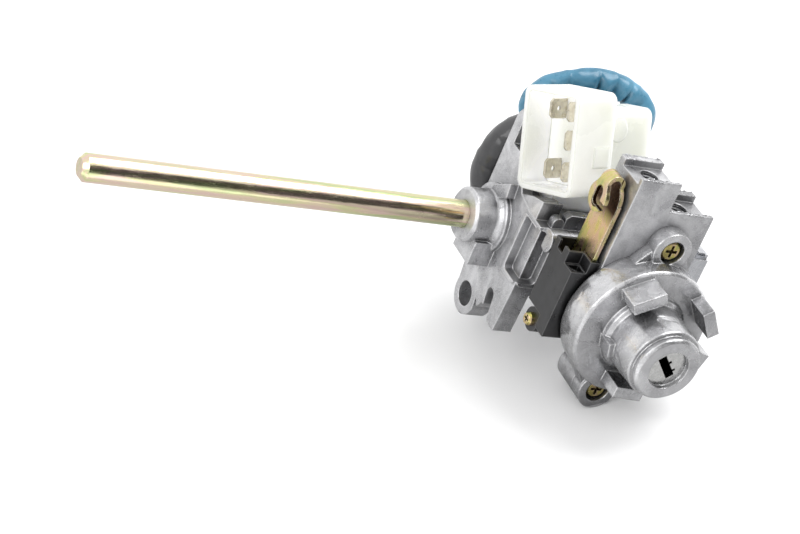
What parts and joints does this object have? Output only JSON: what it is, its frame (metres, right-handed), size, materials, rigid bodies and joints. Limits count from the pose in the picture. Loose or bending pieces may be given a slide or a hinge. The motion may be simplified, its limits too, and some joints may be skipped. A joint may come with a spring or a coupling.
{
  "type": "ignition switch",
  "caption": "Ignition switch with a key cylinder in a die-cast housing, a long sliding lock rod, a blade connector and a sprung cable lever.",
  "frame": {"origin": "middle of the cover's front face, on the key axis", "axes": "-Y out of the keyhole towards the user, +X along the lock rod towards the body, +Z the way the two pads face"},
  "size_m": [0.2014, 0.1145, 0.0921],
  "materials": {
    "cast_zinc": "as-cast, matt with fine mottling",
    "passivated_steel": "yellow passivated, slightly iridescent",
    "plug_nickel": "bright turned face",
    "wafer_brass": "plain",
    "inner_steel": "machined",
    "spring_steel": "bright wire",
    "white_nylon": "satin, slightly translucent",
    "plated_brass": "tin plated, satin",
    "inner_plastic": "moulded",
    "black_plastic": "semi-gloss moulded",
    "clip_steel": "bright sheet",
    "grey_vinyl": "glossy soft vinyl",
    "blue_vinyl": "satin soft vinyl",
    "wire_cover": "plain insulation"
  },
  "bodies": {
    "base": {"lock_housing": "cast_zinc", "cylinder_cover": "cast_zinc", "cover_screws": "passivated_steel", "lock_spring": "spring_steel", "slider_cap": "cast_zinc", "cap_screws": "passivated_steel", "switch_block": "white_nylon", "blade_terminals": "plated_brass", "switch_screws": "passivated_steel", "lever_guide": "black_plastic", "guide_screw": "passivated_steel", "lever_spring": "spring_steel", "side_clip": "clip_steel", "grey_sleeve": "grey_vinyl", "blue_sleeve": "blue_vinyl", "lead_wires": "wire_cover"},
    "key": {"key_plug": "plug_nickel", "wafer_tumblers": "wafer_brass", "cam_shaft": "inner_steel"},
    "slider": {"lock_slider": "inner_steel", "lock_rod": "passivated_steel", "rod_pin": "inner_steel", "contact_slide": "inner_plastic", "contact_bridge": "plated_brass"},
    "lever": {"cable_lever": "passivated_steel"}
  },
  "joints": [
    {"name": "key_turn", "type": "hinge", "parent": "base", "child": "key", "pos_m": [0, 0, 0], "axis": [0, 1, 0], "range_deg": [0, 90]},
    {"name": "lock_slide", "type": "slide", "parent": "base", "child": "slider", "axis": [1, 0, 0], "range_m": [0, 0.00707], "deforming": ["lock_spring"]},
    {"name": "lever_pull", "type": "slide", "parent": "base", "child": "lever", "axis": [0, 0, -1], "range_m": [0, 0.008], "stiffness_N_per_m": 400, "springref_m": -0.003, "deforming": ["lever_spring"]}
  ],
  "couplings": [
    {"joint": "key_turn", "follows": "lock_slide", "rad_per_m": 222.14}
  ]
}
